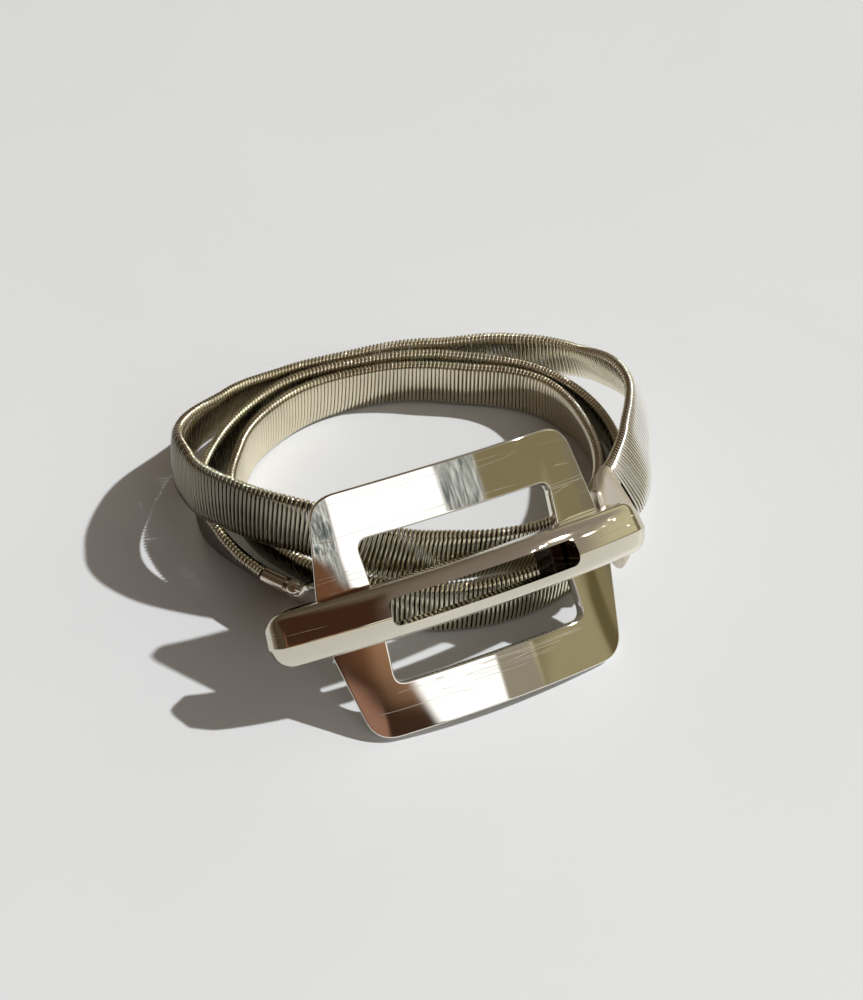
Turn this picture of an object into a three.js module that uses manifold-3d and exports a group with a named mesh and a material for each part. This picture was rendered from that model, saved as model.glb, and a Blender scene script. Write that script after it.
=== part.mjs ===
// Elastic belt: a flattened coil of springy wire, wound in turns that stand on edge and closed
// by a two-part chrome buckle. Millimetres, Z up. The belt lies on the plane Z = 0, and the
// origin is the middle of its footprint.
import * as THREE from 'three';
import * as BufferGeometryUtils from 'three/addons/utils/BufferGeometryUtils.js';
import Module from 'manifold-3d';

const wasm = await Module();
wasm.setup();

// Driving sizes

const GAP = 0.3;

// The band's upright section is a flat oval of eight sides. The shares give the flat rim's
// part of the thickness, and the shoulder's drop from the rim in half thicknesses.
const BAND = { width: 11.2, thickness: 2.6, rimShare: 0.5, shoulderDrop: 0.8 };
const BAND_STEP = 5;

// A crimped cap holds a narrowed tongue of the band in a blind socket.
const SOCKET = { depth: 3.4, widthWall: 0.8, thicknessWall: 0.6 };

// The frame plate, flat: a barrel of six sides, bowed to the bend radius once it is cut.
const PLATE = {
  height: 39.3,
  halfEnd: 22.3,
  halfMiddle: 26.1,
  cornerRadius: 4,
  middleRadius: 3,
  thickness: 1.8,
  edge: 0.4,
  bend: 78.2,
};
const OPENING = { low: 8.1, high: 31.2, halfEnd: 16.9, halfMiddle: 16.1, cornerRadius: 2 };

// The bar across the frame, with its long slot, and the catch behind the frame's right leg.
const BAR = { left: -33.8, right: 31.5, low: 15.5, height: 8.6, depth: 4.9, flat: 2.3, nose: 3.8 };
const BAR_TIP = { heightShare: 0.3, depthShare: 0.5 };
const SLOT = { left: -15, right: 15.5, low: 17.5, high: 21.8, cornerRadius: 1.4 };
const CATCH = {
  left: 12.8,
  neck: 2.2,
  root: 1.2,
  reach: 21.2,
  lift: -2.4,
  thickness: 1.2,
  low: 16.1,
  high: 23.5,
};

// The buckle stands on the frame's two lower corners, turned and leaning back.
const BUCKLE = { x: 12.5, y: -49.9, turn: 24.96, leanBack: 39.33 };

// The band's turns lie round this point. Each row is one place along the band: its angle from
// the right, the radius of its lower edge, that edge's height, and the band's outward lean.
const RING = { x: 0, y: 1.3 };
const FIRST_TURN = -24;
const LAST_TURN = 946;
const ROUTE = [
  { turn: -36, radius: 37.3, lift: 9.0, lean: -45 },
  { turn: -18, radius: 39.3, lift: 8.0, lean: -42 },
  { turn: 0, radius: 39.6, lift: 7.1, lean: -31 },
  { turn: 20, radius: 42.4, lift: 8.2, lean: -24 },
  { turn: 40, radius: 43.9, lift: 4.8, lean: -26 },
  { turn: 65, radius: 37.6, lift: 2.3, lean: -8 },
  { turn: 90, radius: 34.8, lift: 0, lean: -3 },
  { turn: 115, radius: 36.5, lift: 0, lean: -13 },
  { turn: 140, radius: 41.5, lift: 1.0, lean: -21 },
  { turn: 160, radius: 45.5, lift: 3.5, lean: -23 },
  { turn: 180, radius: 46.1, lift: 5.7, lean: -5 },
  { turn: 200, radius: 44.3, lift: 10.7, lean: -9 },
  { turn: 216, radius: 39.7, lift: 12.1, lean: -6 },
  { turn: 232, radius: 35.1, lift: 11.7, lean: -7 },
  { turn: 250, radius: 31.3, lift: 9.2, lean: -1 },
  { turn: 270, radius: 28.9, lift: 7.4, lean: 2 },
  { turn: 292, radius: 27.7, lift: 6.4, lean: 12 },
  { turn: 316, radius: 30.7, lift: 3.5, lean: -7 },
  { turn: 345, radius: 31.3, lift: 0.2, lean: -7 },
  { turn: 375, radius: 32.7, lift: 0.6, lean: -17 },
  { turn: 405, radius: 31.9, lift: 0, lean: -7 },
  { turn: 440, radius: 28.1, lift: 0, lean: -9 },
  { turn: 475, radius: 29.8, lift: 0, lean: -11 },
  { turn: 510, radius: 33.2, lift: 0, lean: -5 },
  { turn: 535, radius: 35.4, lift: 0, lean: -3 },
  { turn: 560, radius: 34.5, lift: 0, lean: 14 },
  { turn: 590, radius: 31.0, lift: 0, lean: 22 },
  { turn: 625, radius: 33.9, lift: 0, lean: 0 },
  { turn: 660, radius: 34.2, lift: 0, lean: 0 },
  { turn: 695, radius: 35.1, lift: 0, lean: -7 },
  { turn: 730, radius: 37.2, lift: 0, lean: -17 },
  { turn: 765, radius: 36.6, lift: 0, lean: -17 },
  { turn: 800, radius: 31.5, lift: 0, lean: -6 },
  { turn: 835, radius: 32.9, lift: 0, lean: -10 },
  { turn: 868, radius: 37.7, lift: 0, lean: -10 },
  { turn: 895, radius: 40.0, lift: 0, lean: -3 },
  { turn: 915, radius: 41.8, lift: 0, lean: 3 },
  { turn: 923, radius: 40.0, lift: 0, lean: 12 },
  { turn: 930, radius: 37.9, lift: 0, lean: 24 },
  { turn: 937, radius: 36.1, lift: 0, lean: 32 },
  { turn: 944, radius: 35.0, lift: 0, lean: 34 },
  { turn: 958, radius: 34.3, lift: 0.5, lean: 33 },
];

// The right cap flares from the band's end to the back of the bar's right end. The drop lowers a
// row, so that the flare's lower corner shows under the bar.
const RIGHT_CAP = [
  { along: 0, width: 11.2, thickness: 2.6, drop: 0 },
  { along: 0.25, width: 11.4, thickness: 2.6, drop: 0 },
  { along: 0.5, width: 12.2, thickness: 2.6, drop: 0.2 },
  { along: 0.75, width: 13.6, thickness: 2.6, drop: 0.6 },
  { along: 0.92, width: 14.2, thickness: 2.6, drop: 0.9 },
  { along: 1, width: 11.6, thickness: 1.8, drop: -0.2 },
];
const RIGHT_CAP_END = { across: 26.8, up: 20.8, lift: -1.7, pull: 4 };

// The left cap's knuckle turns on the hinge tongue's pin, between its two ears. The pin ends
// inside the ears, and each ear's arm runs into the tongue.
const KNUCKLE = { turn: 956, radius: 1.3, bore: 0.75, length: 7.2, reach: 1.7 };
const EAR = { width: 1.5, overlap: 0.6, pin: 0.4, pinInset: 0.2 };

// The tongue is as thick as the cap at the knuckle, and thins to pass behind the frame's left leg.
const TONGUE = [
  { along: 0, width: 10.8, thickness: 2.6, drop: 0 },
  { along: 0.2, width: 11.4, thickness: 2.6, drop: 0 },
  { along: 0.4, width: 12.2, thickness: 2.2, drop: 0 },
  { along: 0.6, width: 12.8, thickness: 1.7, drop: 0 },
  { along: 0.8, width: 13.2, thickness: 1.5, drop: 0 },
  { along: 1, width: 13.2, thickness: 1.5, drop: 0 },
];
const TONGUE_END = { across: -17.5, up: 20.2, pull: 7 };

const COLOURS = { coil: 0xb9b6a8, chrome: 0xcfcdc4, cap: 0xc4bfb6 };

// Meshes and booleans

// Makes a closed mesh from points and triangles, with its faces pointing out.
function closedGeometry(points, triangles) {
  const geometry = new THREE.BufferGeometry();
  geometry.setAttribute('position', new THREE.Float32BufferAttribute(points.flatMap((p) => p.toArray()), 3));
  const volume = triangles.reduce((sum, [a, b, c]) => {
    const cross = new THREE.Vector3().crossVectors(points[b], points[c]);
    return sum + points[a].dot(cross);
  }, 0);
  const outward = volume > 0 ? triangles : triangles.map(([a, b, c]) => [a, c, b]);
  geometry.setIndex(outward.flat());
  geometry.computeVertexNormals();
  return geometry;
}

// Joins rings of points in order. The ends are closed flat, or joined to each other in a loop.
function loft(rings, looped = false) {
  const count = rings[0].length;
  const triangles = [];
  const spans = looped ? rings.length : rings.length - 1;
  for (let span = 0; span < spans; span += 1) {
    const here = span * count;
    const there = ((span + 1) % rings.length) * count;
    for (let side = 0; side < count; side += 1) {
      const next = (side + 1) % count;
      triangles.push([here + side, here + next, there + next]);
      triangles.push([here + side, there + next, there + side]);
    }
  }
  if (!looped) {
    const last = (rings.length - 1) * count;
    for (let side = 1; side + 1 < count; side += 1) {
      triangles.push([0, side + 1, side]);
      triangles.push([last, last + side, last + side + 1]);
    }
  }
  return closedGeometry(rings.flat(), triangles);
}

function toSolid(geometry) {
  const bare = geometry.clone();
  bare.deleteAttribute('normal');
  bare.deleteAttribute('uv');
  const merged = BufferGeometryUtils.mergeVertices(bare, 1e-4);
  return new wasm.Manifold(new wasm.Mesh({
    numProp: 3,
    vertProperties: new Float32Array(merged.attributes.position.array),
    triVerts: new Uint32Array(merged.index.array),
  }));
}

function toGeometry(solid) {
  const mesh = solid.getMesh();
  const geometry = new THREE.BufferGeometry();
  geometry.setAttribute('position', new THREE.BufferAttribute(mesh.vertProperties, 3));
  geometry.setIndex(new THREE.BufferAttribute(mesh.triVerts, 1));
  geometry.computeVertexNormals();
  return geometry;
}

function joined(...geometries) {
  return geometries.map(toSolid).reduce((whole, piece) => whole.add(piece));
}

// The band's route

// Reads a column of the route at any turn, along a smooth curve that never overshoots a row.
function routeValue(column, turn) {
  const last = ROUTE.length - 1;
  const after = Math.min(last, Math.max(1, ROUTE.findIndex((row) => row.turn > turn)));
  const row = turn >= ROUTE[last].turn ? last : after;
  const rise = (i) => (ROUTE[i][column] - ROUTE[i - 1][column]) / (ROUTE[i].turn - ROUTE[i - 1].turn);
  const slope = (i) => {
    if (i === 0) return rise(1);
    if (i === last) return rise(last);
    const product = rise(i) * rise(i + 1);
    return product > 0 ? (2 * product) / (rise(i) + rise(i + 1)) : 0;
  };
  const [from, to] = [ROUTE[row - 1], ROUTE[row]];
  const span = to.turn - from.turn;
  const t = (turn - from.turn) / span;
  const ease = t * t * (3 - 2 * t);
  return from[column] * (1 - ease) + to[column] * ease
    + span * t * (1 - t) * (slope(row - 1) * (1 - t) - slope(row) * t);
}

function routePoint(turn) {
  const angle = THREE.MathUtils.degToRad(turn);
  const radius = routeValue('radius', turn);
  return new THREE.Vector3(
    RING.x + radius * Math.cos(angle),
    RING.y + radius * Math.sin(angle),
    routeValue('lift', turn),
  );
}

// The flat oval of the band's section: x through its thickness, y up its width.
function bandOval(width, thickness) {
  const across = thickness / 2;
  const rim = across * BAND.rimShare;
  const high = width / 2;
  const shoulder = high - across * BAND.shoulderDrop;
  const quarter = [[across, shoulder], [rim, high]];
  const upper = [...quarter, ...quarter.map(([x, y]) => [-x, y]).reverse()];
  return [...upper, ...upper.map(([x, y]) => [-x, -y])].map(([x, y]) => new THREE.Vector2(x, y));
}

// A place on the band: its middle, its direction, up its width, and out through its face.
function bandFrame(turn) {
  const foot = routePoint(turn);
  const along = routePoint(turn + 0.5).sub(routePoint(turn - 0.5)).normalize();
  const angle = THREE.MathUtils.degToRad(turn);
  const lean = THREE.MathUtils.degToRad(routeValue('lean', turn));
  const up = new THREE.Vector3(Math.cos(angle), Math.sin(angle), 0).multiplyScalar(Math.sin(lean));
  up.z = Math.cos(lean);
  up.addScaledVector(along, -up.dot(along)).normalize();
  const side = new THREE.Vector3().crossVectors(along, up);
  const centre = foot.clone().addScaledVector(up, BAND.width / 2);
  const lowest = Math.min(...bandOval(BAND.width, BAND.thickness).map((p) => p.x * side.z + p.y * up.z));
  centre.z = foot.z - lowest;
  return { centre, along, up, side };
}

function moved(frame, distance) {
  return { ...frame, centre: frame.centre.clone().addScaledVector(frame.along, distance) };
}

function ovalRing(frame, width, thickness) {
  return bandOval(width, thickness).map((p) => frame.centre.clone()
    .addScaledVector(frame.side, p.x)
    .addScaledVector(frame.up, p.y));
}

// The ring of a crimped end's tongue, or of the socket round it when the clearance is 0.
function narrowRing(frame, clearance) {
  return ovalRing(
    frame,
    BAND.width - 2 * (SOCKET.widthWall + clearance),
    BAND.thickness - 2 * (SOCKET.thicknessWall + clearance),
  );
}

function coilBand() {
  const first = bandFrame(FIRST_TURN);
  const last = bandFrame(LAST_TURN);
  const steps = Math.ceil((LAST_TURN - FIRST_TURN) / BAND_STEP);
  const body = Array.from({ length: steps + 1 }, (_, step) => {
    const turn = THREE.MathUtils.lerp(FIRST_TURN, LAST_TURN, step / steps);
    return ovalRing(bandFrame(turn), BAND.width, BAND.thickness);
  });
  return loft([
    narrowRing(moved(first, -SOCKET.depth), GAP),
    narrowRing(first, GAP),
    ...body,
    narrowRing(last, GAP),
    narrowRing(moved(last, SOCKET.depth), GAP),
  ]);
}

// The buckle, in its own frame: x across the plate, z up it, y through it to the back

// A point of the bowed plate: lift is the height over its front face.
function onPlate(across, up, lift) {
  const angle = across / PLATE.bend;
  const radius = PLATE.bend + lift;
  return new THREE.Vector3(radius * Math.sin(angle), PLATE.bend - radius * Math.cos(angle), up);
}

// A polygon with its corners rounded, and its sides divided so that they can be bowed.
function roundedOutline(corners, sideSteps, cornerSteps = 4) {
  return corners.flatMap((corner, i) => {
    const before = corners[(i + corners.length - 1) % corners.length];
    const after = corners[(i + 1) % corners.length];
    const cutPoints = [before, after].map((other) => {
      const away = other.at.clone().sub(corner.at).normalize();
      return corner.at.clone().addScaledVector(away, corner.cut);
    });
    const nextCut = corner.at.clone().sub(after.at).normalize().multiplyScalar(after.cut).add(after.at);
    const round = new THREE.QuadraticBezierCurve(cutPoints[0], corner.at, cutPoints[1]);
    const side = new THREE.LineCurve(cutPoints[1], nextCut).getPoints(sideSteps[i]).slice(1, -1);
    return [...round.getPoints(cornerSteps), ...side];
  });
}

// The frame's outline and its opening's have the same number of points, one facing the other.
function barrelOutline(low, high, halfEnd, halfMiddle, cornerCut, middleCut) {
  const middle = (low + high) / 2;
  const corner = (x, y, cut) => ({ at: new THREE.Vector2(x, y), cut });
  return roundedOutline([
    corner(-halfEnd, low, cornerCut),
    corner(halfEnd, low, cornerCut),
    corner(halfMiddle, middle, middleCut),
    corner(halfEnd, high, cornerCut),
    corner(-halfEnd, high, cornerCut),
    corner(-halfMiddle, middle, middleCut),
  ], [9, 4, 4, 9, 4, 4]);
}

function framePlate() {
  const outer = barrelOutline(
    0, PLATE.height, PLATE.halfEnd, PLATE.halfMiddle, PLATE.cornerRadius, PLATE.middleRadius,
  );
  const { low, high, halfEnd, halfMiddle, cornerRadius } = OPENING;
  const inner = barrelOutline(low, high, halfEnd, halfMiddle, cornerRadius, cornerRadius);
  const rings = outer.map((rim, i) => {
    const edge = PLATE.edge / rim.distanceTo(inner[i]);
    const front = [[0, -PLATE.edge], [edge, 0], [0.5, 0], [1 - edge, 0], [1, -PLATE.edge]];
    const back = front.map(([share, lift]) => [share, -PLATE.thickness - lift]).reverse();
    return [...front, ...back].map(([share, lift]) => {
      const place = rim.clone().lerp(inner[i], share);
      return onPlate(place.x, place.y, lift);
    });
  });
  return loft(rings, true);
}

// The bar's section where it is full, or shrunk near an end: straight sides and a round front.
function barRing(across, full) {
  const half = (BAR.height / 2) * THREE.MathUtils.lerp(BAR_TIP.heightShare, 1, full);
  const deep = THREE.MathUtils.lerp(BAR_TIP.depthShare, 1, full);
  const depth = BAR.depth * deep;
  const flat = BAR.flat * deep;
  const front = [90, 60, 30, 0, -30, -60, -90].map((angle) => {
    const turn = THREE.MathUtils.degToRad(angle);
    return [half * Math.sin(turn), flat + (depth - flat) * Math.cos(turn)];
  });
  const back = [[-half, PLATE.edge], [PLATE.edge - half, 0], [half - PLATE.edge, 0], [half, PLATE.edge]];
  const middle = BAR.low + BAR.height / 2;
  return [...front, ...back].map(([up, lift]) => onPlate(across, middle + up, GAP + lift));
}

function slottedBar() {
  const noseShares = [0.02, 0.12, 0.3, 0.6];
  const roundness = (share) => Math.sqrt(1 - (1 - share) ** 2);
  const leftNose = noseShares.map((share) => barRing(BAR.left + share * BAR.nose, roundness(share)));
  const rightNose = noseShares.map((share) => barRing(BAR.right - share * BAR.nose, roundness(share)));
  const straight = BAR.right - BAR.left - 2 * BAR.nose;
  const steps = 12;
  const middle = Array.from({ length: steps + 1 }, (_, step) => {
    return barRing(BAR.left + BAR.nose + (straight * step) / steps, 1);
  });
  const body = loft([...leftNose, ...middle, ...rightNose.reverse()]);

  const corner = (x, y) => ({ at: new THREE.Vector2(x, y), cut: SLOT.cornerRadius });
  const outline = roundedOutline([
    corner(SLOT.left, SLOT.low),
    corner(SLOT.right, SLOT.low),
    corner(SLOT.right, SLOT.high),
    corner(SLOT.left, SLOT.high),
  ], [10, 1, 10, 1]);
  const slot = loft([-1, BAR.depth + 2].map((lift) => outline.map((p) => onPlate(p.x, p.y, lift))));
  const cut = toSolid(body).subtract(toSolid(slot));
  return toGeometry(cut.add(toSolid(barCatch())));
}

// The hidden catch: a neck behind the bar, and a hook that lies behind the frame's right leg.
// Its profile starts at the inner corner, so that its ends close without a fold.
function barCatch() {
  const { left, neck, root, reach, lift, thickness } = CATCH;
  const profile = [
    [left + neck, lift],
    [reach, lift],
    [reach, lift - thickness],
    [left, lift - thickness],
    [left, root],
    [left + neck, root],
  ];
  return loft([CATCH.low, CATCH.high].map((up) => profile.map(([across, out]) => onPlate(across, up, out))));
}

// The caps and the hinge, which run from the band to the buckle

// A frame on the way from one frame to another, along a smooth curve.
function betweenFrames(from, to, startPull, endPull, share) {
  const curve = new THREE.CubicBezierCurve3(
    from.centre,
    from.centre.clone().addScaledVector(from.along, startPull),
    to.centre.clone().addScaledVector(to.along, -endPull),
    to.centre,
  );
  const along = curve.getTangent(share);
  const up = from.up.clone().lerp(to.up, share);
  up.addScaledVector(along, -up.dot(along)).normalize();
  return { centre: curve.getPoint(share), along, up, side: new THREE.Vector3().crossVectors(along, up) };
}

// A frame on the back of the bowed plate, running towards the right (1) or the left (-1).
function plateFrame(buckle, across, up, lift, direction) {
  const turned = (vector) => vector.transformDirection(buckle.matrixWorld);
  const along = turned(onPlate(across + direction, 0, lift).sub(onPlate(across, 0, lift)));
  const centre = buckle.localToWorld(onPlate(across, up, lift));
  return { centre, along, up: turned(new THREE.Vector3(0, 0, 1)) };
}

// The rings of a plate that changes its width and thickness on its way, by the rows of a table.
function flaredRings(from, to, startPull, endPull, rows) {
  return rows.map((row) => {
    const frame = betweenFrames(from, to, startPull, endPull, row.along);
    frame.centre.addScaledVector(frame.up, -row.drop);
    return ovalRing(frame, row.width, row.thickness);
  });
}

// The blind socket at a cap's mouth, from its bottom out to the rim.
function socketRings(mouth, inwards) {
  return [narrowRing(moved(mouth, inwards * SOCKET.depth), 0), narrowRing(mouth, 0)];
}

function endCapRight(buckle) {
  const end = bandFrame(FIRST_TURN);
  const mouth = moved({ ...end, along: end.along.clone().negate() }, GAP);
  const wide = plateFrame(buckle, RIGHT_CAP_END.across, RIGHT_CAP_END.up, RIGHT_CAP_END.lift, -1);
  const reach = mouth.centre.distanceTo(wide.centre);
  const outside = flaredRings(mouth, wide, reach / 3, RIGHT_CAP_END.pull, RIGHT_CAP);
  return loft([...socketRings({ ...mouth, side: mouth.side.clone().negate() }, 1), ...outside]);
}

// A round bar along a frame's width, from one height to another over the frame's middle.
function roundAlongWidth(frame, radius, from, to) {
  const geometry = new THREE.CylinderGeometry(radius, radius, to - from, 14);
  geometry.translate(0, (from + to) / 2, 0);
  const back = frame.along.clone().negate();
  const place = new THREE.Matrix4().makeBasis(frame.side, frame.up, back).setPosition(frame.centre);
  return geometry.applyMatrix4(place);
}

function endCapLeft() {
  const end = bandFrame(LAST_TURN);
  const mouth = moved(end, GAP);
  const axis = bandFrame(KNUCKLE.turn);
  const neck = moved(axis, -KNUCKLE.reach);
  const halfway = bandFrame((LAST_TURN + KNUCKLE.turn) / 2);
  const body = loft([
    ...socketRings(mouth, 1),
    ovalRing(mouth, BAND.width, BAND.thickness),
    ovalRing(halfway, BAND.width, BAND.thickness),
    ovalRing(neck, BAND.width, BAND.thickness),
    ovalRing(neck, KNUCKLE.length, BAND.thickness),
    ovalRing(axis, KNUCKLE.length, BAND.thickness),
  ]);
  const half = KNUCKLE.length / 2;
  const knuckle = joined(body, roundAlongWidth(axis, KNUCKLE.radius, -half, half));
  return toGeometry(knuckle.subtract(toSolid(roundAlongWidth(axis, KNUCKLE.bore, -BAND.width, BAND.width))));
}

function hingeTongue(buckle) {
  const axis = bandFrame(KNUCKLE.turn);
  const root = moved(axis, KNUCKLE.reach);
  const { thickness } = TONGUE[TONGUE.length - 1];
  const lift = -PLATE.thickness - GAP - thickness / 2;
  const tip = plateFrame(buckle, TONGUE_END.across, TONGUE_END.up, lift, 1);
  const plate = loft(flaredRings(root, tip, TONGUE_END.pull, TONGUE_END.pull, TONGUE));
  const inner = KNUCKLE.length / 2 + GAP;
  const outer = inner + EAR.width;
  const ears = [1, -1].flatMap((hand) => {
    const [low, high] = [inner * hand, outer * hand].sort((a, b) => a - b);
    const middle = { ...axis, centre: axis.centre.clone().addScaledVector(axis.up, (low + high) / 2) };
    const arm = loft([middle, moved(middle, KNUCKLE.reach + EAR.overlap)].map((place) => {
      return ovalRing(place, EAR.width, thickness);
    }));
    return [roundAlongWidth(axis, KNUCKLE.radius, low, high), arm];
  });
  const pin = roundAlongWidth(axis, EAR.pin, EAR.pinInset - outer, outer - EAR.pinInset);
  return toGeometry(joined(plate, pin, ...ears));
}

// The assembly

function namedMesh(name, geometry, color, roughness) {
  const mesh = new THREE.Mesh(geometry, new THREE.MeshStandardMaterial({ color, roughness, metalness: 1 }));
  mesh.name = name;
  return mesh;
}

// The buckle's place: turned about the vertical, then leaning back on its lower corners.
function buildBuckle() {
  const leaning = new THREE.Group();
  leaning.rotation.x = -THREE.MathUtils.degToRad(BUCKLE.leanBack);
  leaning.add(
    namedMesh('frame_plate', framePlate(), COLOURS.chrome, 0.12),
    namedMesh('slotted_bar', slottedBar(), COLOURS.chrome, 0.15),
  );
  const turned = new THREE.Group();
  turned.rotation.z = THREE.MathUtils.degToRad(BUCKLE.turn);
  turned.position.set(BUCKLE.x, BUCKLE.y, 0);
  turned.add(leaning);
  turned.position.z = -new THREE.Box3().setFromObject(turned, true).min.z;
  turned.updateMatrixWorld(true);
  return { turned, leaning };
}

function buildBelt() {
  const belt = new THREE.Group();
  const buckle = buildBuckle();
  belt.add(
    namedMesh('coil_band', coilBand(), COLOURS.coil, 0.25),
    namedMesh('end_cap_right', endCapRight(buckle.leaning), COLOURS.cap, 0.2),
    namedMesh('end_cap_left', endCapLeft(), COLOURS.cap, 0.2),
    namedMesh('hinge_tongue', hingeTongue(buckle.leaning), COLOURS.chrome, 0.12),
    buckle.turned,
  );
  const footprint = new THREE.Box3().setFromObject(belt, true);
  const middle = footprint.getCenter(new THREE.Vector3());
  belt.position.set(-middle.x, -middle.y, 0);
  return belt;
}

export default buildBelt();
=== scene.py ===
"""Elastic belt of flattened wire coil with a two-part chrome buckle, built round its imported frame.

Sizes are in millimetres and angles in degrees, except where a comment or a unit says otherwise.
"""
import math

import bmesh
import bpy
from mathutils import Matrix, Vector


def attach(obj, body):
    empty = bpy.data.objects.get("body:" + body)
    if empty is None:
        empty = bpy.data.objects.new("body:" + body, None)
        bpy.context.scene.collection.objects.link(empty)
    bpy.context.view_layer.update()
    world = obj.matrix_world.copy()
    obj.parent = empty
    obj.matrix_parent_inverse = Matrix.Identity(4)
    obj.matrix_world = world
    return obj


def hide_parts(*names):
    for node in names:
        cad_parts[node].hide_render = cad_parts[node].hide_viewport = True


bl_info = {
    "name": "Elastic coil belt",
    "version": (1, 0, 0),
    "blender": (4, 5, 0),
    "location": "3D View > Sidebar > Coil belt",
    "description": "Builds a wire-coil elastic belt, its caps, its hinge and its chrome buckle",
    "category": "Object",
}

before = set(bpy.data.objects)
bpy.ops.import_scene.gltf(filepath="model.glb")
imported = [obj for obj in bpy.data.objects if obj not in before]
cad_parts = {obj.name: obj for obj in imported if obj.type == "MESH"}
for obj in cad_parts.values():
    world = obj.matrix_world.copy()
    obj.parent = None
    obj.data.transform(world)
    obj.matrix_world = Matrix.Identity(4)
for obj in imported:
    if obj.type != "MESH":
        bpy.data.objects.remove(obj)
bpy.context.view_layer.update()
BODY = "root"
MM = 0.001

# Points closer together than this, in metres, become one, and flatter edges than this look smooth.
MERGE_DISTANCE = 1e-7
SMOOTH_ANGLE = 35

# Neighbouring pieces stand this far apart.
PIECE_GAP = 0.3

# The band's route: the angle round the ring, the radius and the height of the band's lower edge,
# and the band's outward lean.
RING_CENTRE = (3.1334, 10.6511)
FIRST_TURN = -24
LAST_TURN = 946
ROUTE_COLUMNS = ("turn", "radius", "lift", "lean")
ROUTE = (
    (-36, 37.3, 9.0, -45), (-18, 39.3, 8.0, -42), (0, 39.6, 7.1, -31), (20, 42.4, 8.2, -24),
    (40, 43.9, 4.8, -26), (65, 37.6, 2.3, -8), (90, 34.8, 0, -3), (115, 36.5, 0, -13),
    (140, 41.0, 0.7, -18.5), (160, 44.8, 2.8, -19.5), (180, 45.8, 5.2, -3.5), (200, 44.3, 10.7, -9),
    (216, 39.7, 12.1, -6), (232, 35.1, 11.7, -7), (250, 31.6, 9.1, -2), (270, 29.7, 7.2, -2),
    (292, 28.5, 6.2, 8), (316, 30.7, 3.5, -7), (345, 31.3, 0.2, -7), (375, 32.7, 0.6, -17),
    (405, 31.9, 0, -7), (440, 28.1, 0, -9), (475, 29.8, 0, -11), (510, 33.2, 0, -5),
    (535, 35.4, 0, -3), (560, 34.5, 0, 14), (590, 31.0, 0, 22), (625, 33.9, 0, 0),
    (660, 34.2, 0, 0), (695, 35.1, 0, -7), (730, 37.2, 0, -17), (765, 36.6, 0, -17),
    (800, 31.5, 0, -6), (835, 32.9, 0, -10), (868, 37.7, 0, -10), (895, 40.0, 0, -3),
    (915, 41.8, 0, 3), (923, 40.0, 0, 12), (930, 37.9, 0, 24), (937, 36.1, 0, 32),
    (944, 35.0, 0, 34), (958, 34.3, 0.5, 33),
)
ROUTE_STEP = 2
DIRECTION_STEP = 0.5

# The band's flat oval; its rims and shoulders are shares of half its thickness.
BAND_WIDTH = 11.2
BAND_THICKNESS = 2.6
OVAL_RIM = 0.5
OVAL_SHOULDER = 0.8
SECTION_SIDES = 24

# The frame plate, flat, and the radius of the bend that bows it about an upright axis behind it.
PLATE_HEIGHT = 39.3
PLATE_HALF_END = 22.3
PLATE_HALF_MIDDLE = 26.1
PLATE_CORNER = 4
PLATE_SHOULDER = 3
PLATE_THICKNESS = 1.8
PLATE_BEND = 78.2
OPENING_LOW = 8.1
OPENING_HIGH = 31.2
OPENING_HALF_END = 16.9
OPENING_HALF_MIDDLE = 16.1
OPENING_CORNER = 2

# The steps of the plate's outline and face. Its rounded edges end in a row of points just inside
# the flat face, which keeps the face's reflection flat.
SIDE_STEPS = (32, 12, 12, 32, 12, 12)
CORNER_STEPS = 8
FACE_SHARES = (0.25, 0.5, 0.75)
EDGE_ROUNDING = 0.25
EDGE_STEPS = 4
EDGE_SUPPORT = 0.1

# The bar. Two facets meet in front in a low ridge, and its tips keep a share of each of its sizes.
BAR_LEFT = -33.8
BAR_RIGHT = 31.5
BAR_LOW = 15.5
BAR_HEIGHT = 8.6
BAR_DEPTH = 4.9
BAR_FLAT = 2.3
BAR_NOSE = 3.8
BAR_RIDGE = 0.5
BAR_RIDGE_UP = -0.7
BAR_EDGE_POWER = 8
BAR_TIP_HEIGHT = 0.15
BAR_TIP_DEPTH = 0.4
BAR_TIP_FLAT = 0.5
BAR_BEVEL = 0.15
BAR_BEVEL_STEPS = 3
BAR_BEVEL_ANGLE = 50
SLOT_LEFT = -15
SLOT_RIGHT = 15.5
SLOT_LOW = 17.5
SLOT_HIGH = 21.8
SLOT_CORNER = 1.1

# The bar's stations from end to end, and its columns from edge to edge. The columns beside the slot
# are shares of the way from the bar's edge to the slot, and stand like the rows of an arc.
NOSE_ANGLES = (8, 16, 26, 36, 46, 56, 66, 76, 84)
BAR_LEFT_STEPS = 7
BAR_RIGHT_STEPS = 6
SLOT_STEPS = 24
SLOT_CORNER_ANGLES = range(0, 91, 15)
SLOT_COLUMNS = (0, 0.2, 0.28, 0.33, 0.38, 0.65, 1)
BESIDE_ARC = (-90, -36, 6)
BESIDE_COLUMNS = [
    (1 + math.sin(math.radians(angle))) / (1 + math.sin(math.radians(BESIDE_ARC[1])))
    for angle in range(*BESIDE_ARC)
]

# The hook behind the frame's right leg: its points across and above the plate, and its two heights.
CATCH_PROFILE = ((15.0, -2.4), (21.2, -2.4), (21.2, -3.6), (12.8, -3.6), (12.8, 1.2), (15.0, 1.2))
CATCH_LOW = 16.1
CATCH_HIGH = 23.5

# Where the buckle stands on the table, how far it is turned, and how far it leans back.
BUCKLE_PLACE = (15.6334, -40.5489)
BUCKLE_TURN = 24.96
BUCKLE_LEAN = 39.33

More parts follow.
